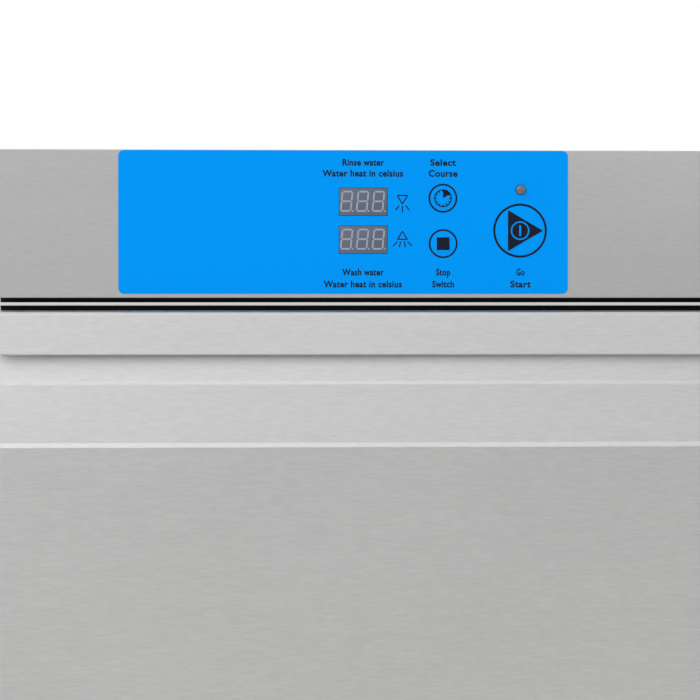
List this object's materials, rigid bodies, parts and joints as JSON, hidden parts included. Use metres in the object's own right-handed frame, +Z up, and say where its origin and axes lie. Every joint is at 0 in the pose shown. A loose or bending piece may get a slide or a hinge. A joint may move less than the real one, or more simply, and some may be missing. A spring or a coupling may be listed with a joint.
{
  "type": "commercial dishwasher",
  "caption": "Undercounter front-loading commercial dishwasher with fold-down door, blue control panel, wash and rinse arms, rack, pump and boiler.",
  "frame": {"origin": "on the floor under the middle of the machine", "axes": "+Z up, -Y out of the front, +X to the right seen from the front"},
  "size_m": [0.6, 0.6198, 0.85],
  "materials": {
    "brushed_stainless": "brushed",
    "inner_stainless": "satin",
    "galvanised_sheet": "galvanised",
    "blue_film": "satin",
    "display_window": "gloss",
    "lamp_lens": "gloss",
    "black_rubber": "matte",
    "black_plastic": "matte",
    "grey_plastic": "matte",
    "white_plastic": "matte",
    "rack_plastic": "satin",
    "circuit_board": "satin",
    "machined_steel": "machined",
    "spring_steel": "drawn",
    "brass": "machined",
    "motor_paint": "satin"
  },
  "bodies": {
    "cabinet": {"base_tray": "galvanised_sheet", "side_panel_left": "brushed_stainless", "side_panel_right": "brushed_stainless", "top_panel": "brushed_stainless", "rear_panel": "galvanised_sheet", "lower_front_panel": "brushed_stainless", "front_frame": "brushed_stainless", "drip_rail": "brushed_stainless", "wash_chamber": "inner_stainless", "wash_tank": "inner_stainless", "tank_heater": "machined_steel", "rack_rail_left": "inner_stainless", "rack_rail_right": "inner_stainless", "door_gasket": "black_rubber", "tank_filter_left": "inner_stainless", "tank_filter_right": "inner_stainless", "lower_spindle": "machined_steel", "upper_spindle": "machined_steel", "door_switch": "white_plastic", "hinge_bracket_left": "machined_steel", "hinge_bracket_right": "machined_steel", "hinge_pin_left": "machined_steel", "hinge_pin_right": "machined_steel", "door_spring_left": "spring_steel", "door_spring_right": "spring_steel", "control_fascia": "brushed_stainless", "control_overlay": "blue_film", "display_upper": "display_window", "display_lower": "display_window", "status_led": "lamp_lens", "control_board": "circuit_board", "terminal_box": "grey_plastic", "wash_pump_housing": "motor_paint", "suction_hose": "black_rubber", "wash_riser": "black_rubber", "rinse_boiler": "inner_stainless", "boiler_heater": "brass", "rinse_hose": "black_rubber", "drain_pipe": "grey_plastic", "water_inlet_valve": "white_plastic", "cable_gland": "black_plastic"},
    "door": {"door_outer_skin": "brushed_stainless", "door_inner_liner": "inner_stainless", "door_magnet": "black_plastic", "hinge_arm_left": "machined_steel", "hinge_arm_right": "machined_steel"},
    "function_button": {"function_key": "blue_film"},
    "off_button": {"off_key": "blue_film"},
    "on_button": {"on_key": "blue_film"},
    "lower_washer": {"lower_wash_arm": "inner_stainless"},
    "lower_rinser": {"lower_rinse_arm": "inner_stainless"},
    "upper_washer": {"upper_wash_arm": "inner_stainless"},
    "upper_rinser": {"upper_rinse_arm": "inner_stainless"},
    "pump_rotor": {"wash_pump_rotor": "machined_steel"},
    "standpipe": {"overflow_standpipe": "grey_plastic"},
    "rack": {"dish_rack": "rack_plastic"},
    "front_left_foot": {"foot_front_left": "machined_steel"},
    "front_right_foot": {"foot_front_right": "machined_steel"},
    "rear_left_foot": {"foot_rear_left": "machined_steel"},
    "rear_right_foot": {"foot_rear_right": "machined_steel"}
  },
  "joints": [
    {"name": "door_hinge", "type": "hinge", "parent": "cabinet", "child": "door", "pos_m": [0, -0.292, 0.208], "axis": [1, 0, 0], "range_deg": [0, 90], "stiffness_Nm_per_rad": 8, "springref_deg": -17.19},
    {"name": "function_key_press", "type": "slide", "parent": "cabinet", "child": "function_button", "axis": [0, 1, 0], "range_m": [0, 0.001], "stiffness_N_per_m": 600},
    {"name": "off_key_press", "type": "slide", "parent": "cabinet", "child": "off_button", "axis": [0, 1, 0], "range_m": [0, 0.001], "stiffness_N_per_m": 600},
    {"name": "on_key_press", "type": "slide", "parent": "cabinet", "child": "on_button", "axis": [0, 1, 0], "range_m": [0, 0.001], "stiffness_N_per_m": 600},
    {"name": "lower_wash_arm_spin", "type": "hinge", "parent": "cabinet", "child": "lower_washer", "pos_m": [0, -0.005, 0.262], "axis": [0, 0, 1], "continuous": true},
    {"name": "lower_rinse_arm_spin", "type": "hinge", "parent": "cabinet", "child": "lower_rinser", "pos_m": [0, -0.005, 0.28], "axis": [0, 0, 1], "continuous": true},
    {"name": "upper_wash_arm_spin", "type": "hinge", "parent": "cabinet", "child": "upper_washer", "pos_m": [0, -0.005, 0.676], "axis": [0, 0, 1], "continuous": true},
    {"name": "upper_rinse_arm_spin", "type": "hinge", "parent": "cabinet", "child": "upper_rinser", "pos_m": [0, -0.005, 0.658], "axis": [0, 0, 1], "continuous": true},
    {"name": "pump_rotor_spin", "type": "hinge", "parent": "cabinet", "child": "pump_rotor", "pos_m": [0.175, 0, 0.118], "axis": [0, 1, 0], "continuous": true},
    {"name": "standpipe_lift", "type": "slide", "parent": "cabinet", "child": "standpipe", "axis": [0, 0, 1], "range_m": [0, 0.035]},
    {"name": "rack_slide", "type": "slide", "parent": "cabinet", "child": "rack", "axis": [0, -1, 0], "range_m": [-0.013, 0.014]},
    {"name": "front_left_foot_screw", "type": "slide", "parent": "cabinet", "child": "front_left_foot", "axis": [0, 0, -1], "range_m": [0, 0.025]},
    {"name": "front_right_foot_screw", "type": "slide", "parent": "cabinet", "child": "front_right_foot", "axis": [0, 0, -1], "range_m": [0, 0.025]},
    {"name": "rear_left_foot_screw", "type": "slide", "parent": "cabinet", "child": "rear_left_foot", "axis": [0, 0, -1], "range_m": [0, 0.025]},
    {"name": "rear_right_foot_screw", "type": "slide", "parent": "cabinet", "child": "rear_right_foot", "axis": [0, 0, -1], "range_m": [0, 0.025]}
  ]
}
